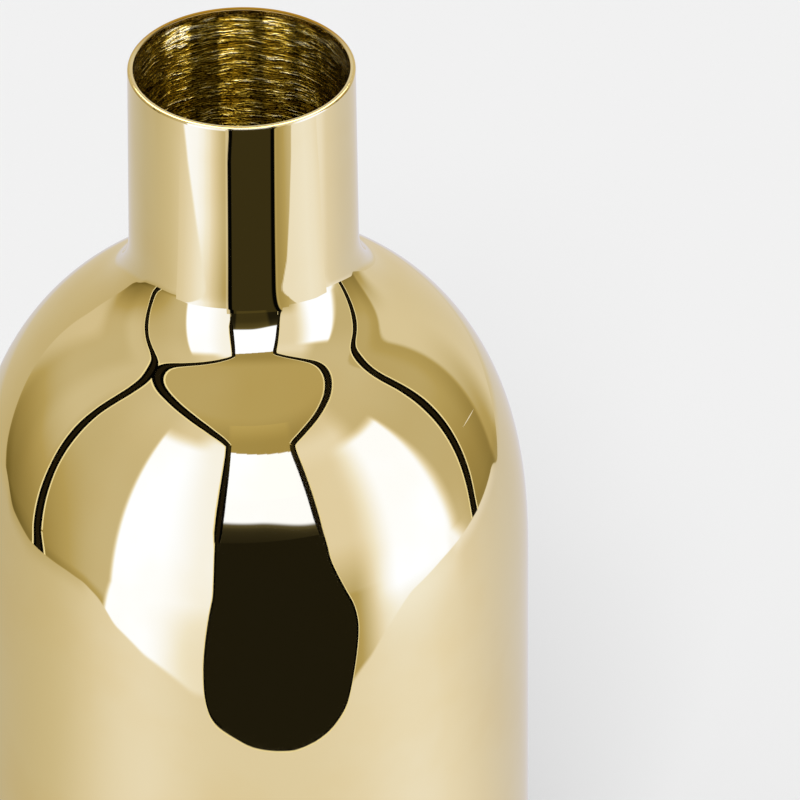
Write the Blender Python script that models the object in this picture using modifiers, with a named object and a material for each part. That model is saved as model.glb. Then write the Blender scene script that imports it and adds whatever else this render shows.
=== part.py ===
"""A brass bottle vase: rolled wall, spun dome, rolled neck, pressed base and the brazing that joins them.

Metres, +Z up. The origin is the centre of the face that the vase stands on.
Every sheet piece is a turned surface given its thickness inwards, so each line below is an outer face.
"""

import math

import bmesh
import bpy
import numpy as np

# Body
BODY_DIAMETER = 0.110
STRAIGHT_WALL = 0.1355      # from the wall's foot to the height where the dome springs
WALL_SHEET = 0.0011

# Dome: (r / radius) ** DOME_OUTWARD + (z / DOME_RISE) ** DOME_UPWARD = 1
DOME_RISE = 0.0686          # height of the whole curve, if it closed at the crown
DOME_OUTWARD = 2.28
DOME_UPWARD = 2.59
SHOULDER_SHEET = 0.0011
SKIRT_DROP = 0.008          # from the spring of the dome down to the wall's upper edge

# Neck
NECK_ROOT_DIAMETER = 0.04454
MOUTH_DIAMETER = 0.04384
NECK_LENGTH = 0.0384        # from the top of the root sweep to the lip
ROOT_SWEEP = 0.0164         # radius of the hollow sweep between the dome and the neck
NECK_SHEET = 0.0011
COLLAR = 0.004              # straight part above the sweep that the neck tube stands on
LIP_ROUND = 0.0004

# Joints
CLEARANCE = 0.0003          # between neighbouring pieces
JOGGLE_RISE = 0.0035        # height over which a sheet steps in to pass inside its neighbour
SKIRT_LAP = 0.006
SPIGOT_LAP = 0.005

# Foot
BASE_SHEET = 0.0012
BASE_BEND = 0.002           # outer radius of the bend between the plate and its flange
BRAZE_RISE = 0.0008         # how far the brazing climbs the wall above the base plate
FOOT_ROUND = 0.0003
FELT_THICKNESS = 0.003
FELT_PROUD = 0.0008         # how far the felt holds the wall off the table
FELT_ROUND = 0.0005

# Facets
TURN_STEPS = 56
DOME_POINTS = 14
SWEEP_POINTS = 8
JOGGLE_POINTS = 6
BEND_POINTS = 5
ROUND_SEGMENTS = 2
SHARP = math.radians(50)
WELD = 0.00001
HALVINGS = 60               # of the search for the root sweep's seat

BRASS = (0.86, 0.74, 0.44, 1.0)
FILLER = (0.84, 0.74, 0.50, 1.0)
FELT = (0.045, 0.035, 0.028, 1.0)

body_radius = BODY_DIAMETER / 2
neck_root_radius = NECK_ROOT_DIAMETER / 2
mouth_radius = MOUTH_DIAMETER / 2
spring_height = FELT_PROUD + STRAIGHT_WALL
wall_bore = body_radius - WALL_SHEET
base_radius = wall_bore - CLEARANCE
plate_top = FELT_THICKNESS - FELT_PROUD + CLEARANCE + BASE_SHEET


def clear_scene():
    for obj in list(bpy.data.objects):
        bpy.data.objects.remove(obj, do_unlink=True)


def collection(name):
    made = bpy.data.collections.new(name)
    bpy.context.scene.collection.children.link(made)
    return made


def material(name, colour, metallic, roughness):
    made = bpy.data.materials.new(name)
    made.use_nodes = True
    surface = made.node_tree.nodes["Principled BSDF"]
    surface.inputs["Base Color"].default_value = colour
    surface.inputs["Metallic"].default_value = metallic
    surface.inputs["Roughness"].default_value = roughness
    return made


def place(obj, height, finish):
    """Puts a piece in the vase at its own height, under the vase's empty."""
    vase.objects.link(obj)
    obj.parent = stand
    obj.location = (0, 0, height)
    obj.data.materials.append(finish)
    return obj


def turned(name, line, height, finish, closed=False):
    """Turns a line of (radius, height) points round the axis. An open line runs down the outer face."""
    mesh = bpy.data.meshes.new(name)
    count = len(line)
    edges = [(i, i + 1) for i in range(count - 1)]
    if closed:
        edges.append((count - 1, 0))
    mesh.from_pydata([(r, 0, z) for r, z in line], edges, [])
    obj = place(bpy.data.objects.new(name, mesh), height, finish)
    turn = obj.modifiers.new("Turn", "SCREW")
    turn.axis = "Z"
    turn.angle = 2 * math.pi
    turn.steps = TURN_STEPS
    turn.render_steps = TURN_STEPS
    turn.use_merge_vertices = True
    turn.merge_threshold = WELD
    turn.use_smooth_shade = True
    return obj


def sheet(obj, thickness):
    """Gives a turned surface its thickness, inwards from the outer face."""
    wall = obj.modifiers.new("Sheet", "SOLIDIFY")
    wall.thickness = thickness
    wall.offset = -1
    wall.use_even_offset = True
    return obj


def round_edges(obj, width):
    """Rounds the sharp edges and keeps the flat faces looking flat beside them."""
    edge = obj.modifiers.new("Round", "BEVEL")
    edge.limit_method = "ANGLE"
    edge.angle_limit = SHARP
    edge.width = width
    edge.segments = ROUND_SEGMENTS
    obj.modifiers.new("Even shading", "WEIGHTED_NORMAL")
    return obj


def step_in(share, step):
    """How far a joggled sheet has moved in after a share of its rise: half a cosine wave."""
    return step * (1 - math.cos(math.pi * share)) / 2


def joggle(radius, top, step, lap):
    """A sheet that steps in over JOGGLE_RISE, then runs straight down for the length of the lap."""
    shares = np.linspace(0, 1, JOGGLE_POINTS)
    line = [(radius - step_in(s, step), top - JOGGLE_RISE * s) for s in shares]
    line.append((radius - step, top - JOGGLE_RISE - lap))
    return line


def joggle_filler(radius, top, step):
    """Section of the ring that fills a joggle's groove flush with the outer face.

    Its back follows the joggle at the clearance, from the feather edge where it meets the outer face.
    """
    feather = math.acos(1 - 2 * CLEARANCE / step) / math.pi
    shares = np.linspace(feather, 1, JOGGLE_POINTS)
    back = [(radius - step_in(s, step) + CLEARANCE, top - JOGGLE_RISE * s) for s in shares]
    return [(radius, back[-1][1])] + back[::-1][:-1] + [(radius, back[0][1])]


def dome_point(turn):
    """The dome's point and outward normal, from turn 0 at its spring to pi / 2 at its crown."""
    out = math.cos(turn) ** (2 / DOME_OUTWARD)
    up = math.sin(turn) ** (2 / DOME_UPWARD)
    slope = np.array([
        DOME_OUTWARD / body_radius * out ** (DOME_OUTWARD - 1),
        DOME_UPWARD / DOME_RISE * up ** (DOME_UPWARD - 1),
    ])
    return np.array([body_radius * out, DOME_RISE * up]), slope / np.linalg.norm(slope)


def sweep_seat():
    """Where a ball of radius ROOT_SWEEP rests against both the dome and the neck: turn and ball centre."""
    low, high = 0.0, math.pi / 2
    for _ in range(HALVINGS):
        turn = (low + high) / 2
        point, normal = dome_point(turn)
        centre = point + ROOT_SWEEP * normal
        if centre[0] > neck_root_radius + ROOT_SWEEP:
            low = turn
        else:
            high = turn
    return turn, centre


def neck_radius(height):
    """Outer radius of the neck at a height above its root: a very slight taper to the mouth."""
    return neck_root_radius + (mouth_radius - neck_root_radius) * height / NECK_LENGTH


def shoulder_line():
    """Down the shoulder: collar, root sweep, dome, straight band and joggled skirt. Height 0 is the spring."""
    last_turn, centre = sweep_seat()
    lowest = math.atan2(*dome_point(last_turn)[1][::-1])
    line = [(neck_radius(COLLAR), centre[1] + COLLAR)]
    for lean in np.linspace(0, lowest, SWEEP_POINTS):
        line.append((centre[0] - ROOT_SWEEP * math.cos(lean), centre[1] - ROOT_SWEEP * math.sin(lean)))
    for share in np.linspace(1, 0, DOME_POINTS)[1:]:
        line.append(tuple(dome_point(last_turn * share)[0]))
    top = JOGGLE_RISE + CLEARANCE - SKIRT_DROP
    line += joggle(body_radius, top, WALL_SHEET + CLEARANCE, SKIRT_LAP)
    return line


def neck_line():
    """Down the neck: lip, tube, joggle and spigot. Height 0 is the top of the root sweep."""
    top = COLLAR + CLEARANCE + JOGGLE_RISE
    spigot = joggle(neck_radius(COLLAR), top, SHOULDER_SHEET + CLEARANCE, SPIGOT_LAP)
    return [(mouth_radius, NECK_LENGTH)] + spigot


def base_line():
    """From the middle of the base plate, out over its bend and down the flange. Height 0 is the wall's foot."""
    line = [(0, plate_top)]
    for lean in np.linspace(math.pi / 2, 0, BEND_POINTS):
        line.append((
            base_radius - BASE_BEND * (1 - math.cos(lean)),
            plate_top - BASE_BEND * (1 - math.sin(lean)),
        ))
    line.append((base_radius, 0))
    return line


def base_filler():
    """Section of the ring in the groove between the base plate's bend and the wall."""
    reach = BASE_BEND + CLEARANCE
    outer = wall_bore - CLEARANCE
    hub = base_radius - BASE_BEND
    lowest = math.acos((outer - hub) / reach)
    section = []
    for lean in np.linspace(lowest, math.pi / 2, BEND_POINTS):
        section.append((hub + reach * math.cos(lean), plate_top - BASE_BEND + reach * math.sin(lean)))
    section.append((outer, plate_top + CLEARANCE + BRAZE_RISE))
    return section


def felt_disc(name, finish):
    """A round disc, die-cut to sit inside the base plate's flange."""
    radius = base_radius - BASE_SHEET - CLEARANCE
    mesh = bpy.data.meshes.new(name)
    disc = bmesh.new()
    bmesh.ops.create_cone(
        disc,
        cap_ends=True,
        segments=TURN_STEPS,
        radius1=radius,
        radius2=radius,
        depth=FELT_THICKNESS,
    )
    disc.to_mesh(mesh)
    disc.free()
    return place(bpy.data.objects.new(name, mesh), FELT_THICKNESS / 2, finish)


clear_scene()
vase = collection("bottle_vase")
stand = bpy.data.objects.new("vase_stand_point", None)
vase.objects.link(stand)

root_height = spring_height + float(sweep_seat()[1][1])
seam_height = spring_height - SKIRT_DROP

wall = turned(
    "body_wall",
    [(body_radius, STRAIGHT_WALL - SKIRT_DROP), (body_radius, 0)],
    FELT_PROUD,
    material("wall_brass", BRASS, 1.0, 0.08),
)
round_edges(sheet(wall, WALL_SHEET), FOOT_ROUND)

shoulder = turned(
    "shoulder_dome",
    shoulder_line(),
    spring_height,
    material("shoulder_brass", BRASS, 1.0, 0.08),
)
sheet(shoulder, SHOULDER_SHEET)

neck = turned("neck_tube", neck_line(), root_height, material("neck_brass", BRASS, 1.0, 0.08))
round_edges(sheet(neck, NECK_SHEET), LIP_ROUND)

base = turned("base_plate", base_line(), FELT_PROUD, material("base_brass", BRASS, 1.0, 0.3))
sheet(base, BASE_SHEET)

turned(
    "neck_braze",
    joggle_filler(neck_radius(COLLAR), COLLAR + CLEARANCE + JOGGLE_RISE, SHOULDER_SHEET + CLEARANCE),
    root_height,
    material("neck_filler", FILLER, 1.0, 0.15),
    closed=True,
)
turned(
    "shoulder_braze",
    joggle_filler(body_radius, CLEARANCE + JOGGLE_RISE, WALL_SHEET + CLEARANCE),
    seam_height,
    material("shoulder_filler", FILLER, 1.0, 0.15),
    closed=True,
)
turned(
    "base_braze",
    base_filler(),
    FELT_PROUD,
    material("base_filler", FILLER, 1.0, 0.35),
    closed=True,
)
round_edges(felt_disc("felt_pad", material("felt", FELT, 0.0, 0.95)), FELT_ROUND)
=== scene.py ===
"""A mirror-polished brass bottle vase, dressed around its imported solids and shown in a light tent.

Metres, +Z up. The origin is the centre of the face that the vase stands on, and the camera looks along +Y.
"""

import math

import bpy
import numpy as np
from mathutils import Matrix, Vector


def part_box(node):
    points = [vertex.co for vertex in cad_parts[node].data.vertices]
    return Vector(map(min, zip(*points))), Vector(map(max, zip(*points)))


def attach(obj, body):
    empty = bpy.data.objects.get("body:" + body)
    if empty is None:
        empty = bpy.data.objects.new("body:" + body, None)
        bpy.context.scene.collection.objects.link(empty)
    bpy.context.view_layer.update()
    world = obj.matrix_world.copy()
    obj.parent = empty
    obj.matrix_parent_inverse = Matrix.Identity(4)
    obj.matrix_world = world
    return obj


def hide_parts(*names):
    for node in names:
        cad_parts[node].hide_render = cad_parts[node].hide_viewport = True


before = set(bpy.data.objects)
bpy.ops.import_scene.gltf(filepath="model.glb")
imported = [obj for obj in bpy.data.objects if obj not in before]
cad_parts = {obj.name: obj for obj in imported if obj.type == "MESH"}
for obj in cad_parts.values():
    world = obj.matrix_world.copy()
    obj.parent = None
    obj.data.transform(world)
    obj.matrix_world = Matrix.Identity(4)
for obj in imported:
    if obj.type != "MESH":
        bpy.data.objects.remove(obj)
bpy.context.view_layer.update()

# Camera
CAMERA_PLACE = Vector((0.0300, -2.1514, 1.6105))
CAMERA_DIP = math.radians(33.75)    # how far it looks down
CAMERA_ROLL = math.radians(-0.346)
LENS = 597.5                        # mm, on a sensor 36 mm wide
SENSOR = 36.0

# The vase's outer line. The dome is (r / body) ** OUTWARD + (z / RISE) ** UPWARD = 1
DOME_RISE = 0.0686
DOME_OUTWARD = 2.28
DOME_UPWARD = 2.59
SKIRT_DROP = 0.008          # from the spring of the dome down to the wall's upper edge
ROOT_SWEEP = 0.0164
NECK_ROOT_RADIUS = 0.02227
MOUTH_RADIUS = 0.02192
BLEND = 0.004               # length over which the outer line is averaged
STEP = 0.00025              # between its points, before they are thinned

# Sheet and joints
SHEET = 0.0011
BASE_SHEET = 0.0012
CLEARANCE = 0.0003
JOGGLE_RISE = 0.0035
LIP_OUTER_ROUND = 0.00045
LIP_INNER_ROUND = 0.0003
POLISHED_EDGE = 0.0009      # how far the polish reaches down inside the lip
FOOT_ROUND = 0.0003
BASE_BEND = 0.002
FELT_ROUND = 0.0009
FELT_DIP = 0.00007          # how far its upper face dips
BRAZE_SAG = 0.175           # of the brazing's height, how hollow its face is

# Meshes
AROUND = 256                # faces round the axis
FINE = 3                    # points of the outer line kept, one in so many
COARSE = 8                  # the same for the inner line
ROUND_POINTS = 6            # of a rounded edge
DOME_POINTS = 4001          # of the dome's line before it is averaged
SWEEP_POINTS = 200          # of the root sweep's arc
JOGGLE_POINTS = 12
FELT_RINGS = 24
CORNER = math.cos(math.radians(38))    # a line that turns by more stays sharp there

low_wall, high_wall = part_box("body_wall")
low_neck, high_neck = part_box("neck_tube")
low_dome, high_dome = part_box("shoulder_dome")
low_base, high_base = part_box("base_plate")
high_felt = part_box("felt_pad")[1]

body_radius = high_wall.x
spring = high_wall.z + SKIRT_DROP


# ---------------------------------------------------------------- camera

def placed(name, data):
    """A new object in the scene, made of this data."""
    obj = bpy.data.objects.new(name, data)
    bpy.context.scene.collection.objects.link(obj)
    return obj


def aim_camera():
    """Points the camera down by CAMERA_DIP and rolls it by CAMERA_ROLL about its own line of sight."""
    ahead = Vector((0, math.cos(CAMERA_DIP), -math.sin(CAMERA_DIP)))
    level = Vector((1, 0, 0))
    above = level.cross(ahead)
    right = math.cos(CAMERA_ROLL) * level + math.sin(CAMERA_ROLL) * above
    up = right.cross(ahead)
    camera = placed("camera", bpy.data.cameras.new("camera"))
    camera.data.lens = LENS
    camera.data.sensor_width = SENSOR
    camera.data.clip_start = 0.1
    camera.data.clip_end = 60
    turned_to = Matrix((right, up, -ahead)).transposed().to_4x4()
    camera.matrix_world = Matrix.Translation(CAMERA_PLACE) @ turned_to
    bpy.context.scene.camera = camera


# ---------------------------------------------------------------- shapes

def root_sweep(radius, height, normal_r, normal_z):
    """Where a ball of radius ROOT_SWEEP rests on both the dome and the neck.

    The ball's centre lies ROOT_SWEEP along the dome's normal, and it touches the neck where that centre is
    ROOT_SWEEP outside the neck's radius. Returns the dome's last point and the hollow arc up to the neck.
    """
    centre_r = radius + ROOT_SWEEP * normal_r
    centre_z = height + ROOT_SWEEP * normal_z
    last = int(np.argmax(centre_r < NECK_ROOT_RADIUS + ROOT_SWEEP))
    lean = np.linspace(math.atan2(normal_z[last], normal_r[last]), 0, SWEEP_POINTS)
    arc_r = NECK_ROOT_RADIUS + ROOT_SWEEP * (1 - np.cos(lean))
    arc_z = centre_z[last] - ROOT_SWEEP * np.sin(lean)
    return last, arc_r, arc_z


def outer_line():
    """The vase's outer line from below the foot to above the lip: radius and height at every STEP along it.

    A straight wall, the dome, the root sweep as an arc, and a neck that tapers evenly. The dome is a
    superellipse: r = body cos(t) ** (2 / OUTWARD), z = RISE sin(t) ** (2 / UPWARD). The line is then averaged
    over BLEND, which eases the turn from bulge to hollow as a spinning tool does. Straight stretches stay as
    they are.
    """
    turn = np.linspace(0, math.pi / 2, DOME_POINTS)[:-1]
    out = np.cos(turn) ** (2 / DOME_OUTWARD)
    up = np.sin(turn) ** (2 / DOME_UPWARD)
    slope = np.array([
        DOME_OUTWARD / body_radius * out ** (DOME_OUTWARD - 1),
        DOME_UPWARD / DOME_RISE * up ** (DOME_UPWARD - 1),
    ])
    slope /= np.linalg.norm(slope, axis=0)
    dome_r, dome_z = body_radius * out, spring + DOME_RISE * up
    last, arc_r, arc_z = root_sweep(dome_r, dome_z, *slope)
    taper = (MOUTH_RADIUS - NECK_ROOT_RADIUS) / (high_neck.z - arc_z[-1])
    beyond = 2 * BLEND
    radius = np.concatenate([[body_radius], dome_r[:last], arc_r, [MOUTH_RADIUS + taper * beyond]])
    height = np.concatenate([[low_wall.z - beyond], dome_z[:last], arc_z, [high_neck.z + beyond]])
    along = np.concatenate([[0], np.cumsum(np.hypot(np.diff(radius), np.diff(height)))])
    steps = np.arange(0, along[-1], STEP)
    weight = np.full(round(BLEND / STEP), STEP / BLEND)
    radius = np.convolve(np.interp(steps, along, radius), weight, "valid")
    height = np.convolve(np.interp(steps, along, height), weight, "valid")
    return radius, height


line_r, line_z = outer_line()
line_r = np.minimum(line_r, body_radius)


def outer_part(low, high, thin=FINE):
    """The outer line between two heights, ends included, as rows of radius and height going up."""
    inside = (line_z > low + STEP) & (line_z < high - STEP)
    kept_z = np.concatenate([[low], line_z[inside][thin // 2::thin], [high]])
    return np.column_stack([np.interp(kept_z, line_z, line_r), kept_z])


def inner_part(low, high, depth, thin=COARSE):
    """The outer line moved in by depth along its normals, between two heights, as rows going down."""
    run = np.gradient(line_r)
    rise = np.gradient(line_z)
    length = np.hypot(run, rise)
    moved_r = line_r - depth * rise / length
    moved_z = line_z + depth * run / length
    inside = (moved_z > low + STEP) & (moved_z < high - STEP)
    kept = np.column_stack([moved_r[inside], moved_z[inside]])[thin // 2::thin]
    ends = [[np.interp(z, moved_z, moved_r), z] for z in (low, high)]
    return np.vstack([ends[0], kept, ends[1]])[::-1]


def quarter(centre_r, centre_z, radius, start, end):
    """An arc of a circle between two angles, measured from outwards towards up."""
    angle = np.radians(np.linspace(start, end, ROUND_POINTS))
    return np.column_stack([centre_r + radius * np.cos(angle), centre_z + radius * np.sin(angle)])


def step_down(radius, top, step, lowest):
    """A joggle: the radius falls by step over JOGGLE_RISE as half a cosine wave, then runs straight down."""
    share = np.linspace(0, 1, JOGGLE_POINTS)
    fall = step * (1 - np.cos(math.pi * share)) / 2
    return np.vstack([np.column_stack([radius - fall, top - JOGGLE_RISE * share]), [radius - step, lowest]])


def turned(name, line, finishes, second_from=None, second_to=None):
    """Turns a line of (radius, height) round the axis: x = r cos(a), y = r sin(a), z = z.

    The line runs up the outside and down the inside. One that begins and ends on the axis is closed there
    by fans, and any other is joined end to start. Rings where it turns a corner stay sharp. Faces from ring
    second_from to second_to take the second finish.
    """
    line = np.asarray(line, float)
    solid = line[0, 0] == 0
    rings = line[1:-1] if solid else line
    count = len(rings)
    angle = np.linspace(0, 2 * math.pi, AROUND, endpoint=False)
    verts = np.stack([
        np.outer(rings[:, 0], np.cos(angle)),
        np.outer(rings[:, 0], np.sin(angle)),
        np.repeat(rings[:, 1:], AROUND, axis=1),
    ], axis=-1).reshape(-1, 3)
    lower = np.arange(count - 1 if solid else count)[:, None]
    upper = (lower + 1) % count
    here = np.arange(AROUND)[None, :]
    there = (here + 1) % AROUND
    faces = np.stack([
        lower * AROUND + here,
        lower * AROUND + there,
        upper * AROUND + there,
        upper * AROUND + here,
    ], axis=-1).reshape(-1, 4).tolist()
    if solid:
        first, final = len(verts), len(verts) + 1
        verts = np.vstack([verts, [0, 0, line[0, 1]], [0, 0, line[-1, 1]]])
        rim = (count - 1) * AROUND
        ring = np.arange(AROUND)
        after = (ring + 1) % AROUND
        faces += np.column_stack([np.full(AROUND, first), after, ring]).tolist()
        faces += np.column_stack([np.full(AROUND, final), rim + ring, rim + after]).tolist()
    mesh = bpy.data.meshes.new(name)
    mesh.from_pydata(verts.tolist(), [], faces)
    for finish in finishes:
        mesh.materials.append(finish)
    mesh.polygons.foreach_set("use_smooth", np.ones(len(mesh.polygons), bool))
    if second_from is not None:
        band = np.arange(len(faces)) // AROUND
        index = ((band >= second_from) & (band < second_to)).astype(np.int32)
        mesh.polygons.foreach_set("material_index", index)
    mark_corners(mesh, rings, solid)
    mesh.update()
    return placed(name, mesh)


def mark_corners(mesh, rings, solid):
    """Marks as sharp each ring of edges where the line's heading turns by more than the corner angle."""
    ahead = np.roll(rings, -1, axis=0) - rings
    back = rings - np.roll(rings, 1, axis=0)
    turn = (ahead * back).sum(1) / (np.linalg.norm(ahead, axis=1) * np.linalg.norm(back, axis=1))
    corner = turn < CORNER
    if solid:
        corner[[0, -1]] = False
    ends = np.empty(2 * len(mesh.edges), np.int32)
    mesh.edges.foreach_get("vertices", ends)
    ring = ends.reshape(-1, 2) // AROUND
    ring = np.minimum(ring, len(rings))
    corner = np.append(corner, False)
    sharp = (ring[:, 0] == ring[:, 1]) & corner[ring[:, 0]]
    mesh.attributes.new("sharp_edge", "BOOLEAN", "EDGE").data.foreach_set("value", sharp)


def neck_piece(finishes):
    """Neck and its braze: outer face up to the rounded lip, bore down to the joggle, and the spigot."""
    collar = high_dome.z
    top = high_neck.z
    outer = outer_part(collar, top - LIP_OUTER_ROUND)
    outer_lip = quarter(outer[-1, 0] - LIP_OUTER_ROUND, top - LIP_OUTER_ROUND, LIP_OUTER_ROUND, 0, 90)
    bore = outer[-1, 0] - SHEET
    inner_lip = quarter(bore + LIP_INNER_ROUND, top - LIP_INNER_ROUND, LIP_INNER_ROUND, 90, 180)
    joggle_top = collar + CLEARANCE + JOGGLE_RISE
    inner = inner_part(joggle_top, top - POLISHED_EDGE, SHEET)
    spigot_in = step_down(inner[-1, 0], joggle_top, SHEET + CLEARANCE, low_neck.z)[1:]
    spigot_out = np.array([
        [spigot_in[-1, 0] + SHEET, low_neck.z],
        [outer[0, 0] - SHEET - CLEARANCE, collar],
    ])
    line = np.vstack([outer, outer_lip[1:], inner_lip, inner, spigot_in, spigot_out])
    bore_from = len(outer) + len(outer_lip) - 1 + len(inner_lip)
    bore_to = bore_from + len(inner) + len(spigot_in)
    return turned("vase_neck", line, finishes, bore_from, bore_to)


def shoulder_piece(finishes):
    """Shoulder and its braze: outer face from seam to collar, inner face, and the skirt inside the wall."""
    seam, collar = high_wall.z, high_dome.z
    outer = outer_part(seam, collar)
    joggle_top = seam + CLEARANCE + JOGGLE_RISE
    inner = inner_part(joggle_top, collar, SHEET)
    skirt_in = step_down(inner[-1, 0], joggle_top, SHEET + CLEARANCE, low_dome.z)[1:]
    skirt_out = np.array([
        [skirt_in[-1, 0] + SHEET, low_dome.z],
        [body_radius - SHEET - CLEARANCE, seam],
    ])
    line = np.vstack([outer, inner, skirt_in, skirt_out])
    return turned("vase_shoulder", line, finishes, len(outer) - 1, len(line) - 1)


def wall_piece(finishes):
    """The straight wall: its outer face, and its inner face with a rounded foot."""
    seam, foot = high_wall.z, low_wall.z
    outer_foot = quarter(body_radius - FOOT_ROUND, foot + FOOT_ROUND, FOOT_ROUND, -90, 0)
    inner_foot = quarter(body_radius - SHEET + FOOT_ROUND, foot + FOOT_ROUND, FOOT_ROUND, -180, -90)
    outer = outer_part(foot + FOOT_ROUND, seam, 4 * FINE)
    line = np.vstack([outer_foot[:-1], outer, [body_radius - SHEET, seam], inner_foot])
    inside = len(outer_foot) - 1 + len(outer)
    return turned("vase_wall", line, finishes, inside, inside + 1)


def base_piece(finishes):
    """The base: a pressed plate whose flange turns down inside the wall."""
    outer = body_radius - SHEET - CLEARANCE
    inner = outer - BASE_SHEET
    top = high_base.z
    under = top - BASE_SHEET
    inner_bend = BASE_BEND - BASE_SHEET
    line = np.vstack([
        [0, under],
        [outer - BASE_BEND, under],
        quarter(outer - BASE_BEND, top - BASE_BEND, inner_bend, 90, 0)[1:],
        [inner, low_base.z],
        [outer, low_base.z],
        quarter(outer - BASE_BEND, top - BASE_BEND, BASE_BEND, 0, 90),
        [0, top],
    ])
    return turned("vase_base", line, finishes)


def braze_piece(finishes):
    """The brazing between base and wall: a ring with a hollow face, as metal that has wetted both."""
    low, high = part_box("base_braze")
    outer = high.x
    hub = body_radius - SHEET - CLEARANCE - BASE_BEND
    reach = BASE_BEND + CLEARANCE
    lowest = math.degrees(math.acos((outer - hub) / reach))
    under = quarter(hub, high_base.z - BASE_BEND, reach, 90, lowest)
    share = np.linspace(0, 1, ROUND_POINTS + 2)[1:-1]
    sag = BRAZE_SAG * (high.z - under[0, 1]) * np.sin(math.pi * share)
    face = np.column_stack([
        outer + (hub - outer) * share,
        high.z + (under[0, 1] - high.z) * share - sag,
    ])
    return turned("vase_base_braze", np.vstack([under, [outer, high.z], face]), finishes)


def felt_piece(finishes):
    """The felt disc: a soft round edge, and faces that swell and dip by a tenth of a millimetre."""
    radius, top = high_felt.x, high_felt.z
    low_edge = quarter(radius - FELT_ROUND, FELT_ROUND, FELT_ROUND, -90, 0)
    high_edge = quarter(radius - FELT_ROUND, top - FELT_ROUND, FELT_ROUND, 0, 90)
    spread = np.linspace(0, radius - FELT_ROUND, FELT_RINGS)[:-1]
    under = np.column_stack([spread, np.zeros_like(spread)])
    over = np.column_stack([spread[::-1], np.full_like(spread, top)])
    felt = turned("vase_felt", np.vstack([under, low_edge, high_edge, over]), finishes)
    verts = np.empty(3 * len(felt.data.vertices), np.float32)
    felt.data.vertices.foreach_get("co", verts)
    x, y, z = verts.reshape(-1, 3).T
    swell = np.sin(310 * x + 1) * np.sin(270 * y) + 0.5 * np.sin(720 * x) * np.sin(650 * y + 2)
    z -= (z > top / 2) * FELT_DIP * (1.5 - swell)
    felt.data.vertices.foreach_set("co", np.column_stack([x, y, z]).ravel())
    return felt


# ---------------------------------------------------------------- finishes

class Value:
    """A socket, so that arithmetic on it adds Math nodes."""

    def __init__(self, shader, socket):
        self.shader = shader
        self.socket = socket

    def math(self, operation, *others):
        inputs = dict(enumerate((self, *others)))
        return self.shader.node("ShaderNodeMath", {"operation": operation}, inputs)

    def __add__(self, other):
        return self.math("ADD", other)

    __radd__ = __add__

    def __sub__(self, other):
        return self.math("SUBTRACT", other)

    def __rsub__(self, other):
        return self.shader.node("ShaderNodeMath", {"operation": "SUBTRACT"}, {0: other, 1: self})

    def __mul__(self, other):
        return self.math("MULTIPLY", other)

    __rmul__ = __mul__


class Shader:
    """A material's node tree, with one method that makes every node."""

    def __init__(self, name):
        self.material = bpy.data.materials.new(name)
        self.material.use_nodes = True
        self.tree = self.material.node_tree
        self.tree.nodes.clear()

    def node(self, kind, settings=None, inputs=None, out=0):
        made = self.tree.nodes.new(kind)
        for key, setting in (settings or {}).items():
            setattr(made, key, setting)
        for key, value in (inputs or {}).items():
            if isinstance(value, Value):
                self.tree.links.new(value.socket, made.inputs[key])
            else:
                made.inputs[key].default_value = value
        return Value(self, made.outputs[out]) if made.outputs else None

    def place(self):
        """The point on the piece: x, y and z in metres."""
        point = self.node("ShaderNodeTexCoord", out="Object")
        return [self.node("ShaderNodeSeparateXYZ", None, {0: point}, axis) for axis in range(3)]

    def vector(self, x, y, z):
        return self.node("ShaderNodeCombineXYZ", None, {0: x, 1: y, 2: z})

    def noise(self, vector, scale=1.0, detail=2.0, roughness=0.5, distortion=0.0):
        inputs = {
            "Vector": vector,
            "Scale": scale,
            "Detail": detail,
            "Roughness": roughness,
            "Distortion": distortion,
        }
        return self.node("ShaderNodeTexNoise", None, inputs)

    def spread(self, value, low, high, to_low=0.0, to_high=1.0):
        """A value carried smoothly from one range to another and held at its ends."""
        inputs = {0: value, 1: low, 2: high, 3: to_low, 4: to_high}
        return self.node("ShaderNodeMapRange", {"interpolation_type": "SMOOTHSTEP"}, inputs)

    def mix(self, amount, first, second):
        """One colour turned into another."""
        return self.node("ShaderNodeMix", {"data_type": "RGBA"}, {0: amount, 6: first, 7: second}, 2)

    def bump(self, height):
        """A bump from a height in metres."""
        return self.node("ShaderNodeBump", None, {"Height": height, "Strength": 1.0, "Distance": 1.0})

    def surface(self, **sockets):
        """The Principled surface. A socket's name is written with underscores."""
        inputs = {name.replace("_", " "): value for name, value in sockets.items()}
        shader = self.node("ShaderNodeBsdfPrincipled", None, inputs)
        self.node("ShaderNodeOutputMaterial", None, {"Surface": shader})
        return self.material


def rgb(red, green, blue):
    return (red, green, blue, 1.0)


BRASS = rgb(0.88, 0.76, 0.43)
BRASS_WARM = rgb(0.87, 0.735, 0.395)
BRASS_WORN = rgb(0.80, 0.69, 0.40)
# Painted reflection on the lip's cut edge: darker gold on its outer half, deep gold at the back, darkest on
# the inner round
LIP_PAINTED_REFLECTION = rgb(0.76, 0.60, 0.24)
LIP_BACK_PAINTED_REFLECTION = rgb(0.58, 0.33, 0.02)
LIP_INNER_PAINTED_REFLECTION = rgb(0.07, 0.039, 0.004)
# The bore's brushed strokes in painted lit and shaded tones with painted glints, and painted shade between
# its reflection lanes
BORE_PAINTED_GLINT = rgb(0.84, 0.76, 0.50)
BORE_STROKE_LIT = rgb(0.74, 0.53, 0.065)
BORE_STROKE_SHADE = rgb(0.14, 0.077, 0.003)
BORE_SHADE_BETWEEN_LANES = rgb(0.004, 0.002, 0.0)
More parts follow.
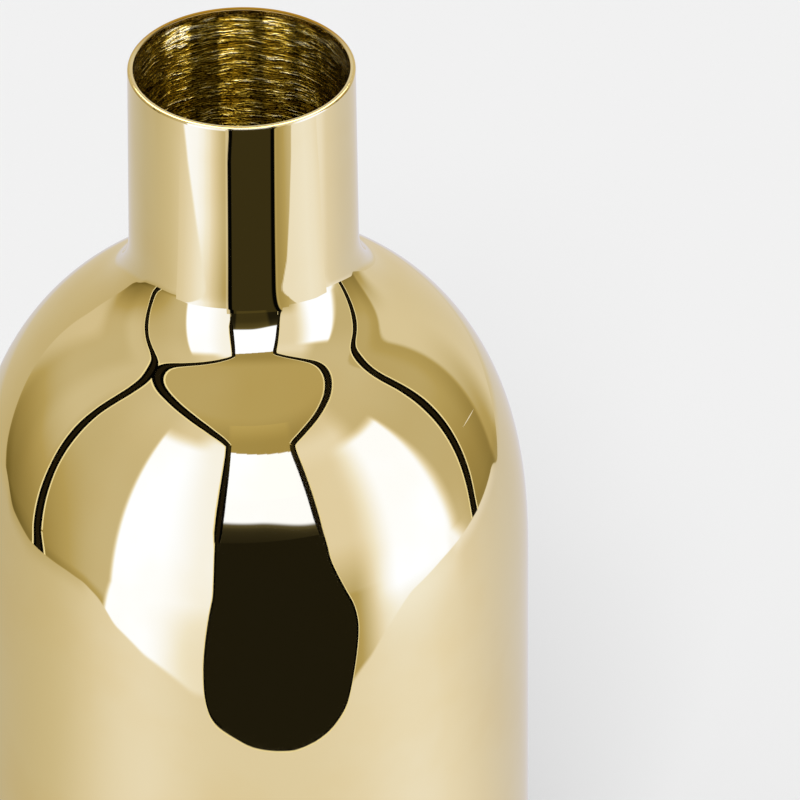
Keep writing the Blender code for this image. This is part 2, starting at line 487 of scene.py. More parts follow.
# Painted reflection: deep gold at the top of the bore, just under the lip
BORE_RIM_PAINTED_REFLECTION = rgb(0.046, 0.025, 0.0028)
SHEET_CLEAN = rgb(0.72, 0.58, 0.30)
SHEET_STAINED = rgb(0.48, 0.36, 0.18)
BRAZING = rgb(0.80, 0.68, 0.40)
FLUX_STAIN = rgb(0.30, 0.22, 0.12)
FELT_DARK = rgb(0.020, 0.015, 0.012)
FELT_LIGHT = rgb(0.085, 0.066, 0.052)
# Distances from the axis and heights, each from where a change begins to where it is complete
LIP_OUTER_HALF = (MOUTH_RADIUS - 0.0007, MOUTH_RADIUS - 0.0004)
LIP_INSIDE_END = (MOUTH_RADIUS - 0.00095, MOUTH_RADIUS - 0.00085)
WORN_FOOT = (0.0022, 0.0048)
# Painted shade in the bore's reflection lanes towards its foot, and painted light towards its mouth
BORE_FOOT_TO_MOUTH = (0.222, 0.249)
BORE_BRIGHTER = (0.2420, 0.2465)
BORE_RIM_FROM = (0.2483, 0.2489)
# Painted reflection lanes down the bore, where it mirrors bright panels: from x, to x, how bright at the
# mouth and at the foot
BORE_REFLECTION_LANES = [
    (-0.0240, -0.0146, 0.45, 0.35),
    (-0.0146, -0.0108, 1.6, 0.3),
    (-0.0044, -0.0018, 0.8, 0.85),
    (-0.0018, 0.0012, 0.35, 0.5),
    (0.0044, 0.0088, 0.75, 0.2),
    (0.0112, 0.0240, 0.2, 0.28),
]


def polished_brass(name):
    """Mirror brass: faint cloudiness, buffing lines round the axis, a slow waviness, and rubbing at the foot.

    The cut edge of the lip carries a painted reflection: a darker gold over its outer half, and a deep gold
    at the back, darkest on the inner round.
    """
    shader = Shader(name)
    x, y, z = shader.place()
    point = shader.vector(x, y, z)
    cloud = shader.noise(point, 38.0, 3.0, 0.55)
    buffing = shader.noise(shader.vector(x, y, z * 40.0), 60.0, 3.0, 0.6)
    wave = shader.noise(point, 24.0, 1.0, 0.4)
    worn = 1 - shader.spread(z + cloud * 0.003, *WORN_FOOT)
    colour = shader.mix(shader.spread(cloud, 0.42, 0.68), BRASS, BRASS_WARM)
    colour = shader.mix(worn, colour, BRASS_WORN)
    # Painted reflection on the lip: its outer half darker gold all round, and deep gold at the back, darkest
    # on the inner round
    on_lip = shader.spread(z, high_neck.z - LIP_OUTER_ROUND, high_neck.z - 0.0001)
    reach = shader.node("ShaderNodeMath", {"operation": "SQRT"}, {0: x * x + y * y})
    outer_half = shader.spread(reach, *LIP_OUTER_HALF)
    colour = shader.mix(on_lip * outer_half * 0.8, colour, LIP_PAINTED_REFLECTION)
    back_reflection_mask = shader.spread(y + cloud * 0.003, 0.003, 0.019)
    lip_reflection = shader.mix(shader.spread(reach, *LIP_INSIDE_END), LIP_INNER_PAINTED_REFLECTION, LIP_BACK_PAINTED_REFLECTION)
    colour = shader.mix(on_lip * back_reflection_mask, colour, lip_reflection)
    return shader.surface(
        Base_Color=colour,
        Metallic=1.0,
        Roughness=0.014 + 0.018 * shader.spread(cloud, 0.45, 0.7) + 0.2 * worn + 0.1 * on_lip,
        Normal=shader.bump(wave * 0.000015 + buffing * 0.00000004),
    )


def brushed_brass(name):
    """The bore: rough brushing round the axis in short strokes, in painted light and shade with painted
    glints, bright painted reflection lanes, and painted shade between them.
    """
    shader = Shader(name)
    x, y, z = shader.place()
    point = shader.vector(x, y, z)
    height = z + shader.noise(point, 110.0, 2.0) * 0.0022
    stroke = shader.noise(shader.vector(x * 260.0, y * 260.0, height * 2800.0), 1.0, 3.0, 0.6)
    broad = shader.noise(shader.vector(x * 60.0, y * 60.0, height * 600.0 + 3.0), 1.0, 2.0, 0.5)
    depth = stroke * 0.75 + broad * 0.25
    ragged = x + (shader.noise(shader.vector(x * 300.0, y * 300.0, z * 900.0), 1.0, 2.0) - 0.5) * 0.003
    # Painted reflection lanes, dimmer towards the bore's foot
    lane_reflection = 0.0
    for start, end, at_mouth, at_foot in BORE_REFLECTION_LANES:
        lane = shader.spread(ragged, start - 0.0006, start + 0.0004)
        lane = lane * (1 - shader.spread(ragged, end - 0.0006, end + 0.0014))
        lane_reflection = lane * shader.spread(z, *BORE_FOOT_TO_MOUTH, at_foot, at_mouth) + lane_reflection
    # Painted light: brighter in the strongest lanes and towards the mouth
    rise = shader.spread(lane_reflection, 1.0, 1.6) * 0.05 + shader.spread(z, *BORE_BRIGHTER) * 0.05
    stroke_lit_share = shader.spread(depth + rise, 0.42, 0.62)
    # The strokes in painted light and shade, with painted glints on the brightest
    colour = shader.mix(stroke_lit_share * stroke_lit_share, BORE_STROKE_SHADE, BORE_STROKE_LIT)
    colour = shader.mix(shader.spread(depth + rise, 0.56, 0.66), colour, BORE_PAINTED_GLINT)
    # Painted shade between the lanes
    colour = shader.mix(0.17 + 0.83 * lane_reflection, BORE_SHADE_BETWEEN_LANES, colour)
    return shader.surface(
        # Painted reflection: the top of the bore made deep gold under the lip
        Base_Color=shader.mix(shader.spread(z, *BORE_RIM_FROM), colour, BORE_RIM_PAINTED_REFLECTION),
        Metallic=1.0,
        Roughness=0.09 + 0.08 * shader.noise(point, 140.0, 3.0),
        Normal=shader.bump(depth * 0.0008),
    )


def plain_brass(name):
    """Rolled sheet left dull: straight rolling lines, stains and a grey-brown cast."""
    shader = Shader(name)
    x, y, z = shader.place()
    stain = shader.noise(shader.vector(x, y, z), 70.0, 5.0, 0.6)
    rolling = shader.noise(shader.vector(x * 12.0, y * 1400.0, z), 1.0, 3.0, 0.6)
    return shader.surface(
        Base_Color=shader.mix(shader.spread(stain, 0.38, 0.66), SHEET_CLEAN, SHEET_STAINED),
        Metallic=1.0,
        Roughness=0.30 + 0.22 * stain,
        Normal=shader.bump(rolling * 0.000012 + stain * 0.00003),
    )


def brazing_metal(name):
    """Brazing as it froze: lumpy, paler than the sheet, with flux stains."""
    shader = Shader(name)
    point = shader.vector(*shader.place())
    lump = shader.noise(point, 420.0, 3.0, 0.55)
    flux = shader.noise(point, 160.0, 4.0, 0.6)
    return shader.surface(
        Base_Color=shader.mix(shader.spread(flux, 0.48, 0.62), BRAZING, FLUX_STAIN),
        Metallic=1.0,
        Roughness=0.28 + 0.4 * flux,
        Normal=shader.bump(lump * 0.0002),
    )


def wool_felt(name):
    """Dense wool felt: matted fibres in two sizes and uneven dye."""
    shader = Shader(name)
    point = shader.vector(*shader.place())
    mat = shader.noise(point, 900.0, 6.0, 0.7, 1.5)
    tuft = shader.noise(point, 260.0, 4.0, 0.6, 0.8)
    return shader.surface(
        Base_Color=shader.mix(mat * 0.6 + tuft * 0.4, FELT_DARK, FELT_LIGHT),
        Roughness=0.95,
        Sheen_Weight=0.35,
        Sheen_Roughness=0.5,
        Normal=shader.bump(mat * 0.00025 + tuft * 0.0003),
    )


# ---------------------------------------------------------------- studio

TENT_CENTRE = 0.19          # height of the middle of the round tent
TENT_RADIUS = 0.60
FLOOR_LEVEL = 0.0
FLOOR_RISE = 0.03           # how far the tent's own floor climbs on its way to the walls
FLOOR_CLIMB = (0.06, 0.20)  # distances from the axis between which it climbs
PANEL_LIFT = 0.0004         # of that floor above the studio floor, at the vase
FLOOR_START = 0.0560        # where that floor begins, just outside the wall
FLOOR_STEP = 0.01           # metres of floor for one degree of lift, below the foot of the walls
FOOT = math.degrees(math.asin((FLOOR_RISE - TENT_CENTRE) / TENT_RADIUS))
FOOT_REACH = TENT_RADIUS * math.cos(math.radians(FOOT))
CURTAIN_REACH = 0.185       # of the curtain below the slit, from the axis
CARD_LEVEL = 0.18           # of the card that the neck mirrors, just below its root
CARD_REACH = 0.049          # where it begins
CARD_EDGE = 0.122           # where it starts to fall away
CARD_EASE = 0.012           # how much sooner it does so beside its two ends
CARD_FALL = 0.42            # how steeply it falls from there
NECK_FALL = 0.616           # how steeply the neck's line of view falls
# The card's parts: name, from turn, to turn, how far out the neck sees it, and how steeply its edge falls
CARD_PARTS = [
    ("left", -60, -14.6, 0.139, CARD_FALL),
    ("middle", -14.6, 33.2, 0.20, 0.0),
    ("corner", 33.2, 39, 0.139, 0.0),
    ("right", 39, 76, 0.139, CARD_FALL),
]
VEIL_REACH = (0.0476, 0.077)    # of the gauze between the vase and the curtain
VEIL_LEVEL = 0.21025        # of its inner edge
VEIL_FALL = 0.5             # how steeply it falls away
VEIL_TURNS = (-6, 18.4)     # where it begins and ends, round from the camera's side
SCREEN_REACH = 0.029        # of the screen by the mouth, which only the bore mirrors
SCREEN_TURN = 112           # how far it runs to each side
SCREEN_HEIGHT = (0.263, 0.385)
# Shares of a tape's width, and shares of the tent's distance at which its core, face and piping hang
TAPE_CORE = 0.42
TRIM = 0.16
HEM_TRIM = 0.45
TAPE_DEPTHS = (0.990, 0.992, 0.995)
HEM_DEPTHS = (0.990, 0.997, 1.003)
# The panels' grids, as points round by points up or outwards
TENT_ROUND = 1081
FLOOR_ROWS = 160
WALL_ROWS = 310
CARD_GRID = (400, 46)
VEIL_GRID = (60, 12)
SCREEN_GRID = (65, 2)
CURTAIN_RINGS = 9
HEM_POINTS = 240
STUDIO_HALF = 30.0          # of the studio floor's width
KEY_PLACE = (-0.2, -1.9, 1.95)
KEY_TARGET = (0, 0, 0.12)
KEY_SIZE = 0.5
KEY_POWER = 15
WORLD_LEVEL = 0.88

# What lit cloth gives off at each brightness (brightness, green, blue): warm where dim, white where full
CLOTH = np.array([
    (0.00, 0.00, 0.00),
    (0.20, 0.155, 0.05),
    (0.40, 0.32, 0.14),
    (0.52, 0.43, 0.22),
    (0.60, 0.53, 0.38),
    (0.70, 0.64, 0.54),
    (0.80, 0.75, 0.72),
    (0.90, 0.88, 0.98),
    (1.00, 1.05, 1.38),
    (1.15, 1.34, 2.35),
])
FULL = 1.15                 # the glowing panels at their brightest
NIGHT = np.array([0.0145, 0.0128, 0.0075])
BLACK = np.array([0.0015, 0.0015, 0.0015])
TAPE_MIDDLE = np.array([0.015, 0.0115, 0.0065])
PIPING = np.array([1.00, 0.93, 0.72])
HAZE = np.array([0.029, 0.023, 0.007])
SCREEN = np.array([6.0, 5.7, 5.2])

# Lines in the tent, as (turn round from the camera's side, lift above level) in degrees
LEFT_BAR = [
    (-93, 58.5), (-80, 57.6), (-62, 57.6), (-45, 56.6), (-30, 54.3), (-20, 51.6), (-14, 49.4), (-9.8, 47),
]
RIGHT_BAR = [
    (27.6, 44.8), (31, 46.6), (40, 49.7), (50, 52.3), (60, 54.6), (70, 56.6), (80, 58.8), (92, 61.5),
]
LEFT_EDGE = [
    (-10, 47.4), (-9.7, 42), (-9.8, 34), (-10.4, 22), (-11, 12), (-11.6, 2), (-12.0, -9),
]
RIGHT_EDGE = [
    (27.7, 45), (27, 41), (27.6, 32), (28.4, 22), (29.3, 12), (30.4, 5), (32.2, -4), (34.4, -9),
]
LEFT_POLE = [
    (-86.6, -30), (-89.4, -14.5), (-89, 2), (-88, 18), (-87, 30), (-86.2, 40), (-86.8, 47), (-90, 53),
    (-98, 58),
]
RIGHT_POLE = [
    (100.6, -27), (101.4, -10), (101.2, 4), (100.4, 18), (99.6, 32), (100, 40), (103, 45.6), (109, 49.6),
    (118, 53),
]
# The line all round where the walls' cloth ends and the floor's begins
JOINT = [
    (-180, -16), (-150, 38), (-140, 23), (-130, 3), (-120, -12.5), (-112, -18), (-105, -27), (-92, -30.5),
    (-72, -28), (-64, -28.5), (-57, -33), (-50, -41), (-38, -46.4), (-20, -51), (0, -52), (38, -51),
    (46, -48), (55, -42), (64, -35), (80, -30), (100, -27), (119, -23.5), (123, -30), (131, -24),
    (140, -17), (180, -16),
]
# The curtain's outline on a cylinder round the vase, as (turn in degrees, height in metres)
CURTAIN = [
    (-10.8, 0.192), (-10.8, 0.174), (-10.8, 0.159), (-10.9, 0.144), (-11.1, 0.136), (-11.6, 0.129),
    (-12.4, 0.118), (-13.4, 0.102), (-14.1, 0.089), (-14.6, 0.077), (-14.8, 0.065), (-14.7, 0.0555),
    (-14.2, 0.0495), (-13.2, 0.0455), (-11.2, 0.0430), (-7.8, 0.0411), (-4.4, 0.0396), (0.5, 0.0377),
    (5.7, 0.0366), (10.9, 0.0360), (16.2, 0.0358), (21.3, 0.0365), (25.5, 0.0376), (29.2, 0.0392),
    (32.2, 0.0413), (34.5, 0.0440), (35.7, 0.0478), (36.7, 0.0560), (37.4, 0.066), (37.9, 0.077),
    (38.2, 0.089), (38.0, 0.101), (36.6, 0.1155), (33.9, 0.131), (31.4, 0.147), (29.5, 0.163),
    (28.8, 0.179), (28.2, 0.192),
]
CURTAIN_MIDDLE = np.array([12.0, 0.11])
HEM = 0.0021                # width of the tape round it


def ramp(value, start, end):
    """0 at start, 1 at end, smooth between: t * t * (3 - 2 t)."""
    share = np.clip((value - start) / (end - start), 0, 1)
    return share * share * (3 - 2 * share)


def lay(under, over, amount):
    """One brightness laid over another by an amount at each point."""
    return under + (over - under) * amount


def along(value, knots, ease=0.0):
    """Straight runs between given knots, the corners eased by averaging over a width."""
    places, levels = np.array(knots).T
    return np.mean([np.interp(value + ease * k, places, levels) for k in (-1, -0.5, 0, 0.5, 1)], axis=0)


def wall_level(turn, lift, joint):
    """Brightness of the walls: plain cloth, shaded towards its foot, with two glowing panels."""
    level = 0.61 + 0.06 * ramp(lift, 20, 52) + 0.04 * ramp(turn, -80, -58) * ramp(-turn, 0, 10)
    # behind the left pole, then the roll of cloth beyond it
    behind = 0.70 - 0.07 * ramp(-turn, 100, 112) + 0.12 * ramp(-turn, 122, 132)
    level = lay(level, behind, ramp(-turn, 88, 94))
    # between the slit and the right panel, behind the right pole, and the pale stretch beyond its fold
    between = 0.86 + 0.04 * ramp(lift, 30, 40) - 0.10 * ramp(lift, 40, 50)
    level = lay(level, between, ramp(turn, 15, 20) * ramp(-turn, -66, -50))
    level = lay(level, 0.56 - 0.07 * ramp(turn, 110, 121), ramp(turn, 100, 102))
    level = lay(level, 0.78 - 0.03 * ramp(turn, 130, 150), ramp(turn, 120.5, 123.5))
    # shade towards the foot
    foot = ramp(-lift, -26, 28)
    depth = 0.72 * ramp(-turn, 52, 112) * ramp(turn, -142, -120)
    depth += 0.45 * ramp(turn, 98, 102) * ramp(-turn, -140, -126)
    level *= 1 - depth * foot
    level *= 1 - 0.42 * ramp(-lift, -2, 22) * ramp(turn, 15, 20) * ramp(-turn, -56, -40)
    level *= 1 - 0.22 * ramp(joint + 8 - lift, 0, 8) * ramp(-turn, 48, 56) * ramp(turn, -125, -115)
    # the left panel, with the glow that it throws on the cloth round it
    level += 0.10 * ramp(turn, -54, -32) * ramp(-turn, 8, 12) * ramp(lift, 36, 46)
    level = lay(level, 1.04, ramp(turn, -31, -17) * ramp(-turn, 8, 12) * ramp(-lift, -54, -46))
    edge = -51.7 + 0.075 * lift
    core = FULL - 0.09 * ramp(turn, -34, -15) - 0.11 * ramp(turn, -40, -20) * ramp(-lift, 12, 46)
    level = lay(level, core, ramp(turn, edge - 1.2, edge + 1.2) * ramp(-turn, 8, 12) * ramp(-lift, -49, -41))
    # the right panel: soft towards the slit and along its foot, and wider below
    edge = 85.8 - 0.26 * (lift + 4)
    soft = 3 + 5 * ramp(-lift, -36, 6)
    core = FULL - 0.13 * ramp(-lift, 24, 44)
    across = ramp(turn, 41, 60) * ramp(edge - turn, -soft / 2, soft / 2)
    level = lay(level, core, across * ramp(-lift, -39, -33))
    paler = level + 0.30 * (0.98 - level)
    return lay(level, paler, ramp(-lift, 2, 30) * ramp(turn, 82, 86) * ramp(-turn, -99, -92))


def floor_level(turn, lift, joint):
    """Brightness of the tent's floor: palest to the front right, and paler or darker beside its edge."""
    knots = [
        (-180, 0.72), (-150, 0.66), (-130, 0.62), (-112, 0.59), (-90, 0.63), (-72, 0.70), (-58, 0.82),
        (-42, 0.91), (-30, 0.90), (-18, 0.84), (0, 0.82), (22, 0.83), (38, 0.87), (52, 0.92), (66, 0.94),
        (80, 0.89), (95, 0.80), (112, 0.72), (130, 0.69), (150, 0.71), (180, 0.73),
    ]
    level = along(turn, knots, 6)
    beside = ramp(lift, joint - 9, joint)
    level -= 0.07 * beside * ramp(-turn, 60, 66) * ramp(turn, -112, -106)
    level += 0.12 * beside * ramp(turn, 84, 90) * ramp(-turn, -122, -116)
    level += 0.06 * ramp(lift, -50, -36) * ramp(turn, 46, 56) * ramp(-turn, -92, -84)
    return level


def tent_light(turn, lift):
    """The light of the tent in each direction, its floor running on below the foot of the walls."""
    joint = along(turn, JOINT, 1.5)
    on_wall = ramp(lift, joint - 0.5, joint + 0.5)
    level = lay(floor_level(turn, lift, joint), wall_level(turn, lift, joint), on_wall)
    # the roof begins at the two bars, and a little lower over the slit between them
    rim = np.array([(-180, 59), *LEFT_BAR, *RIGHT_BAR, (180, 62)])
    rim = np.interp(turn, rim[:, 0], rim[:, 1]) - 2.8 * (turn > -9.8) * (turn < 27.6)
    roof = 0.52 - 0.14 * ramp(-lift, -62, -47) + 0.03 * ramp(-turn, -10, 50)
    level = lay(level, roof, ramp(lift, rim - 0.4, rim + 0.4))
    light = cloth(level)
    # the slit, with night below its sill and full light above it
    left, right = (np.interp(lift, *np.array(edge[::-1]).T[::-1]) for edge in (LEFT_EDGE, RIGHT_EDGE))
    in_slit = (turn > left) & (turn < right) & (lift > -11) & (lift < rim)
    sill = 13.6 - 3.4 * ramp(turn, 5, 30)
    glow = [(-14, 0.95), (-9.5, 1.1), (-6.5, 1.7), (-5, 2.0), (-3.5, 2.5), (-2.3, 3.7), (-1, 8)]
    shade = NIGHT * along(lift - sill, glow)[..., None]
    beyond = lay(shade, CLOTH[-1], ramp(lift, sill - 1, sill + 0.6)[..., None])
    light = np.where(in_slit[..., None], beyond, light)
    # cooler low down at the back, which the vase's outline mirrors
    paler = (ramp(np.abs(turn), 75, 128) * ramp(-lift, 20, 32))[..., None]
    return light * (1 + paler * [0, 0.06, 0.35])


def cloth(level):
    """The light that cloth gives off at each brightness."""
    return np.stack([np.interp(level, CLOTH[:, 0], shade) for shade in CLOTH.T], axis=-1)


def card_light(turn, reach):
    """The light of the card below the neck: a glowing strip, the dark slit and its tapes, and pale cloth.

    The reach is where the neck's line of view meets the card's level.
    """
    level = along(turn, [(-62, 0.78), (-54, 0.83), (-48, 0.89), (-40, 0.96), (-36, 0.98)])
    strip = [
        (-60, 1.12), (-42, 1.09), (-36, 1.05), (-30, 0.97), (-24, 0.81), (-18, 0.64), (-15.3, 0.61),
        (-14.6, 0.74),
    ]
    core = along(turn, strip) - 0.09 * ramp(-reach, -0.100, -0.070)
    edge = 420 * (0.128 - reach) - 55.2
    level = lay(level, core, ramp(turn, edge - 1.8, edge + 1.8))
    step = along(reach, [
        (0.070, 31), (0.0745, 33.3), (0.0835, 38.5), (0.0925, 40.7), (0.1015, 42.7), (0.1195, 45.7),
        (0.137, 48),
    ])
    level = lay(level, 0.43 + 0.23 * ramp(turn, 30, 50), ramp(turn, 10, 12))
    pale = along(turn, [(30, 0.935), (42, 0.94), (50, 0.955), (60, 0.975), (68, 0.955), (76, 0.91)])
    level = lay(level, pale, ramp(turn, step - 0.6, step + 0.6))
    right = 27.4 + 48 * (reach - 0.070)
    level = lay(level, level + 0.06, ramp(turn, right, right + 0.5) * ramp(-turn, -right - 2.2, -right - 1.2))
    left = np.interp(reach, (0.124, 0.133), (-13.2, -11.9))
    inside = ramp(turn, left - 0.35, left + 0.35) * ramp(-turn, -right - 0.35, -right + 0.35)
    tapes = 1 - ramp(turn, left + 3, left + 3.8) * ramp(-turn, 3 - right, 4.5 - right)
    dark = lay(NIGHT + HAZE, BLACK, tapes[..., None])
    return lay(cloth(level), dark, inside[..., None])


def round_axis(turn, reach, height):
    """Points at a turn from the camera's side in degrees, a reach from the axis and a height."""
    angle = np.radians(turn)
    return np.stack([reach * np.sin(angle), -reach * np.cos(angle), height], axis=-1)


def floor_height(reach):
    """Height of the tent's floor at a distance from the axis."""
    return PANEL_LIFT + FLOOR_RISE * ramp(reach, *FLOOR_CLIMB)


def on_tent(turn, lift):
    """Points of the tent: on a sphere above the foot, and below it on the floor, nearer as the lift falls."""
    angle = np.radians(np.maximum(lift, FOOT))
    reach = TENT_RADIUS * np.cos(angle) - FLOOR_STEP * np.maximum(FOOT - lift, 0)
    height = np.where(lift < FOOT, floor_height(reach), TENT_CENTRE + TENT_RADIUS * np.sin(angle))
    return round_axis(turn, reach, height)


def lit(name, one_sided=False, gauze=False):
    """A cloth that gives off its light attribute, for what the camera sees mirrored directly.

    A one-sided cloth is clear from behind, and gauze adds its light to what is seen through it.
    """
    shader = Shader(name)
    colour = shader.node("ShaderNodeAttribute", {"attribute_name": "light"}, None, 0)
    bounced = shader.node("ShaderNodeLightPath", None, None, "Diffuse Depth")
    glow = shader.node("ShaderNodeEmission", None, {"Color": colour, "Strength": 1.0})
    dark = shader.node("ShaderNodeEmission", None, {"Color": rgb(0, 0, 0), "Strength": 0.0})
    shown = shader.node("ShaderNodeMixShader", None, {0: bounced.math("MINIMUM", 1.0), 1: glow, 2: dark})
    clear = shader.node("ShaderNodeBsdfTransparent", None, {"Color": rgb(1, 1, 1)})
    if gauze:
        shown = shader.node("ShaderNodeAddShader", None, {0: shown, 1: clear})
    if one_sided:
        behind = shader.node("ShaderNodeNewGeometry", None, None, "Backfacing")
        shown = shader.node("ShaderNodeMixShader", None, {0: behind, 1: shown, 2: clear})
    shader.node("ShaderNodeOutputMaterial", None, {"Surface": shown})
    return shader.material


def mirrored_only(name, verts, light, glow):
    """A grid of points made a panel that only mirror surfaces see, lit evenly or at each point."""
    rows, columns = verts.shape[:2]
    index = np.arange(rows * columns).reshape(rows, columns)
    corners = [index[:-1, :-1], index[:-1, 1:], index[1:, 1:], index[1:, :-1]]
    faces = np.stack(corners, axis=-1).reshape(-1, 4)
    mesh = bpy.data.meshes.new(name)
    mesh.from_pydata(verts.reshape(-1, 3).tolist(), [], faces.tolist())
    light = np.broadcast_to(light, verts.shape)
    colours = np.concatenate([light, np.ones((rows, columns, 1))], axis=-1).astype(np.float32)
    mesh.attributes.new("light", "FLOAT_COLOR", "POINT").data.foreach_set("color", colours.ravel())
    mesh.materials.append(glow)
    panel = placed(name, mesh)
    for view in ("camera", "diffuse", "transmission", "volume_scatter", "shadow"):
        setattr(panel, f"visible_{view}", False)


def smooth_path(points, count=120):
    """A smooth line through given points: Catmull-Rom, with the ends run on."""
    points = np.array(points, float)
    ends = [2 * points[0] - points[1], *points, 2 * points[-1] - points[-2]]
    share = np.linspace(0, 1, count // (len(points) - 1) + 1, endpoint=False)[:, None]
    pieces = []
    for a, b, c, d in zip(ends, ends[1:], ends[2:], ends[3:]):
        square = (2 * a - 5 * b + 4 * c - d) * share ** 2
        cube = (3 * b - a - 3 * c + d) * share ** 3
        pieces.append(0.5 * (2 * b + (c - a) * share + square + cube))
    return np.vstack([*pieces, points[-1]])


def tape(name, path, widths, glow, trims, core=TAPE_CORE, depths=TAPE_DEPTHS):
    """Black tape along a line of points, browner in its middle, with pale piping showing beside it.

    The tape's half width runs across the line, square to it and to the direction from the vase, and lies
    level where the line is on the floor. The brown core is a share of the tape's width, and so are the two
    trims, which say how far the piping shows before and after the tape.
    """
    middle = np.array([0, 0, TENT_CENTRE])
    highest = PANEL_LIFT + FLOOR_RISE
    level = ramp(-path[:, 2:], -highest - 0.002, -highest)
    outward = (path - middle) * (1 - level) + [0, 0, -TENT_RADIUS] * level
    side = np.cross(outward, np.gradient(path, axis=0))
    side /= np.linalg.norm(side, axis=1)[:, None]
    share = np.linspace(0, 1, len(path))
    half = np.interp(share, np.linspace(0, 1, len(widths)), widths)[:, None] / 2
    strips = (
        ("core", core * half, core * half, TAPE_MIDDLE),
        ("tape", half, half, BLACK),
        ("piping", (1 + 2 * trims[0]) * half, (1 + 2 * trims[1]) * half, PIPING),
    )
    for depth, (strip, before, after, colour) in zip(depths, strips):
        if strip == "core" and not core:
            continue
        verts = np.stack([path - side * before, path + side * after], axis=1)
        verts = (verts - middle) * depth + middle
        mirrored_only(f"{name}_{strip}", verts, colour, glow)


def raise_tent():
    """The tent's cloth and floor in one sheet, the curtain below its slit, and the tapes along its seams."""
    glow = lit("tent_cloth")
    lowest = FOOT - (FOOT_REACH - FLOOR_START) / FLOOR_STEP
    lifts = np.concatenate([np.linspace(lowest, FOOT, FLOOR_ROWS)[:-1], np.linspace(FOOT, 90, WALL_ROWS)])
    turn, lift = np.meshgrid(np.linspace(-180, 180, TENT_ROUND), lifts)
    mirrored_only("tent", on_tent(turn, lift), tent_light(turn, lift), glow)
    left_pole = (0.045, 0.047, 0.037, 0.038, 0.032, 0.033, 0.036, 0.042, 0.048)
    right_pole = (0.030, 0.040, 0.041, 0.042, 0.035, 0.035, 0.036, 0.038, 0.040)
    for name, line, widths, trims in (
        ("left_bar", LEFT_BAR, (0.050, 0.036, 0.033, 0.027, 0.021), (TRIM, TRIM)),
        ("right_bar", RIGHT_BAR, (0.024, 0.025, 0.026, 0.030, 0.031), (TRIM, TRIM)),
        ("left_edge", LEFT_EDGE, (0.024, 0.024, 0.028, 0.033, 0.036, 0.034, 0.010, 0.008), (TRIM, 0)),
        ("right_edge", RIGHT_EDGE, (0.024, 0.026, 0.0265, 0.0265, 0.027, 0.017, 0.008, 0.008), (0, TRIM)),
        ("left_pole", LEFT_POLE, left_pole, (TRIM, TRIM)),
        ("right_pole", RIGHT_POLE, right_pole, (TRIM, TRIM)),
    ):
        tape(name, on_tent(*smooth_path(line).T), widths, glow, trims)
    hem = smooth_path(CURTAIN, HEM_POINTS)
    closed = np.vstack([hem, hem[:1]])
    rings = CURTAIN_MIDDLE + (closed - CURTAIN_MIDDLE) * np.linspace(0, 1, CURTAIN_RINGS)[:, None, None]
    mirrored_only("curtain", round_axis(rings[..., 0], CURTAIN_REACH, rings[..., 1]), NIGHT, glow)
    widths = [HEM] * 5 + [0.0009, 0.0004, 0.0003, 0.0004, 0.0007, 0.0018] + [HEM] * 4
    path = round_axis(hem[:, 0], CURTAIN_REACH, hem[:, 1])
    tape("hem", path, widths, glow, (HEM_TRIM, 0), 0, HEM_DEPTHS)


def hang_card():
    """The card that the neck mirrors, lit on its upper side, and the gauze that greys the slit there."""
    cloth_above = lit("card_cloth", one_sided=True)
    for name, start, end, furthest, slope in CARD_PARTS:
        turns = np.linspace(start, end, CARD_GRID[0])
        turn, reach = np.meshgrid(turns, np.linspace(furthest, CARD_REACH, CARD_GRID[1]))
        edge = CARD_EDGE - CARD_EASE * (ramp(-turn, 46, 60) + ramp(turn, 62, 76))
        beyond = np.maximum(reach - edge, 0) * NECK_FALL / (NECK_FALL - slope)
        card = round_axis(turn, np.minimum(reach, edge) + beyond, CARD_LEVEL - slope * beyond)
        mirrored_only(f"neck_card_{name}", card, card_light(turn, reach), cloth_above)
    turns = np.linspace(*VEIL_TURNS, VEIL_GRID[0])
    turn, reach = np.meshgrid(turns, np.linspace(*VEIL_REACH, VEIL_GRID[1]))
    veil = round_axis(turn, reach, VEIL_LEVEL - VEIL_FALL * (reach - VEIL_REACH[0]))
    strength = 1.25 + 0.7 * ramp(-reach, -0.0540, -0.0490)
    strength = strength * ramp(turn, -7, -4.5) * ramp(-turn, -19, -16)
    mirrored_only("veil", veil, HAZE * strength[..., None], lit("gauze", one_sided=True, gauze=True))


def stand_screen():
    """The bright screen round the mouth, clear from outside, which lights the bore."""
    turns = np.linspace(SCREEN_TURN, -SCREEN_TURN, SCREEN_GRID[0])
    turn, height = np.meshgrid(turns, np.linspace(*SCREEN_HEIGHT, SCREEN_GRID[1]))
    screen = round_axis(turn, SCREEN_REACH, height)
    mirrored_only("mouth_screen", screen, SCREEN, lit("screen_cloth", one_sided=True))


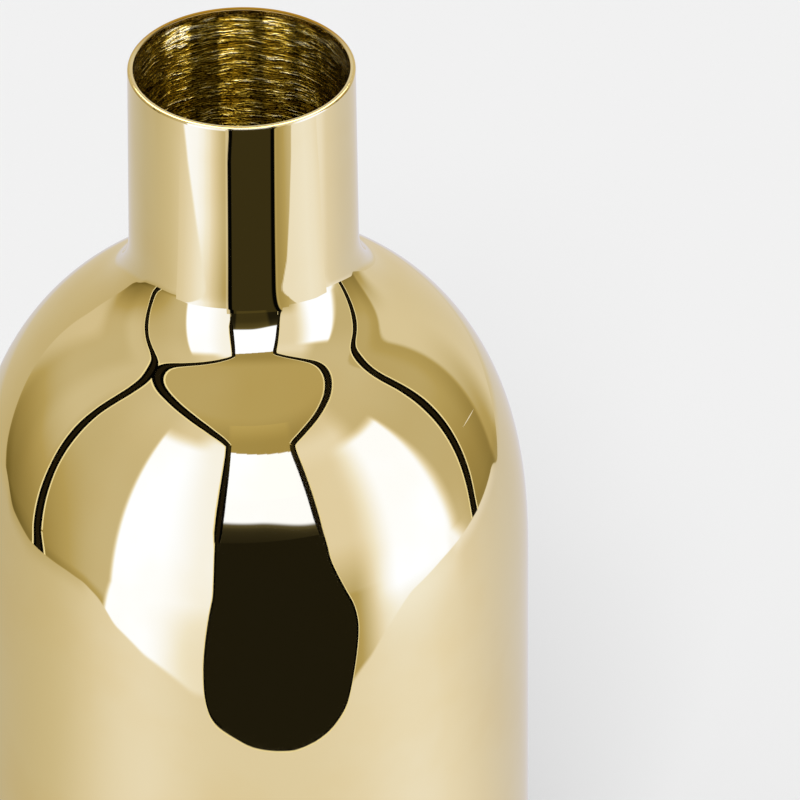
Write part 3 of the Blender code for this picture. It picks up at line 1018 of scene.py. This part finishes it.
def lay_floor():
    """A wide pale floor, level with the vase's foot."""
    shader = Shader("studio_floor")
    material = shader.surface(Base_Color=rgb(0.90, 0.90, 0.90), Roughness=0.9, Specular_IOR_Level=0.0)
    square = ((-1, -1), (1, -1), (1, 1), (-1, 1))
    corners = [(STUDIO_HALF * x, STUDIO_HALF * y, FLOOR_LEVEL) for x, y in square]
    mesh = bpy.data.meshes.new("studio_floor")
    mesh.from_pydata(corners, [], [(0, 1, 2, 3)])
    mesh.materials.append(material)
    placed("studio_floor", mesh)


def hang_lamp(name):
    """A square soft lamp that faces the vase's middle. Mirror surfaces see the tent instead of it."""
    lamp = bpy.data.lights.new(name, "AREA")
    lamp.size = KEY_SIZE
    lamp.energy = KEY_POWER
    obj = placed(name, lamp)
    obj.location = KEY_PLACE
    obj.rotation_euler = (Vector(KEY_TARGET) - Vector(KEY_PLACE)).to_track_quat("-Z", "Y").to_euler()
    obj.visible_glossy = False


def light_world():
    """Even light from all round, and the same pale tone for the camera as the floor has."""
    world = bpy.data.worlds.new("studio")
    bpy.context.scene.world = world
    world.use_nodes = True
    background = world.node_tree.nodes["Background"]
    background.inputs["Color"].default_value = rgb(1.0, 1.0, 1.0)
    background.inputs["Strength"].default_value = WORLD_LEVEL


# ---------------------------------------------------------------- the vase

aim_camera()
bpy.context.scene.view_settings.view_transform = "Standard"

mirror = polished_brass("mirror_brass")
brushed = brushed_brass("brushed_brass")

neck = neck_piece([mirror, brushed])
shoulder = shoulder_piece([mirror, brushed])
wall = wall_piece([mirror, brushed])
base = base_piece([plain_brass("rolled_brass")])
braze = braze_piece([brazing_metal("brazing")])
felt = felt_piece([wool_felt("wool_felt")])

for piece, slot, nodes in (
    (neck, "polished_brass", ("neck_tube", "neck_braze")),
    (shoulder, "polished_brass", ("shoulder_dome", "shoulder_braze")),
    (wall, "polished_brass", ("body_wall",)),
    (base, "plain_brass", ("base_plate",)),
    (braze, "brazing_metal", ("base_braze",)),
    (felt, "felt", ("felt_pad",)),
):
    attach(piece, "root")
    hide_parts(*nodes)

raise_tent()
hang_card()
stand_screen()
lay_floor()
hang_lamp("key")
light_world()
